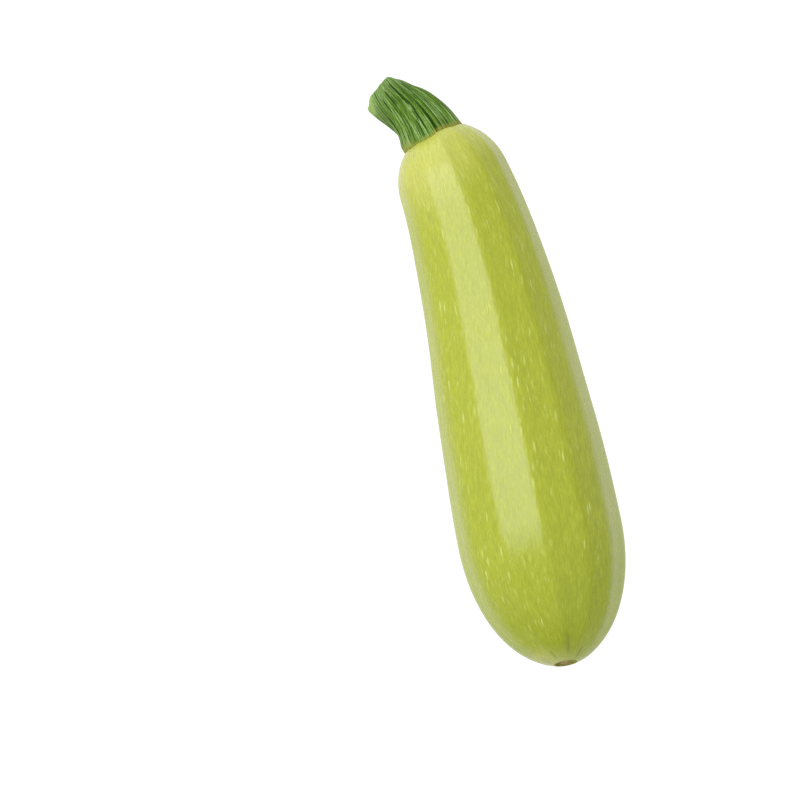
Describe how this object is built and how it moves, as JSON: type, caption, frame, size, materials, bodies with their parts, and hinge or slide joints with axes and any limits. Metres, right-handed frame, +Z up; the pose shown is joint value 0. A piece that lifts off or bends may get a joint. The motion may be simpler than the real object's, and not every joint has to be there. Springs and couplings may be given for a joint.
{
  "type": "zucchini",
  "caption": "Pale green zucchini lying on its side: a slightly bent club shape with soft lengthwise ridges, a ribbed green stem cut short and a dry blossom scar.",
  "frame": {"origin": "middle of the bounding box in X and Y, on the surface the zucchini lies on", "axes": "+Z up; +Y along the fruit, from the blossom scar towards the stem; +X to the right as seen from above with the stem away from the viewer"},
  "size_m": [0.0496, 0.1858, 0.0504],
  "materials": {
    "skin": "waxy satin, pale yellow-green with fine lighter flecks",
    "stem": "matt, fibrous green with lengthwise ribs",
    "scar": "dry, corky brown"
  },
  "bodies": {
    "root": {"fruit": "skin", "stem": "stem", "blossom_scar": "scar"}
  },
  "joints": []
}
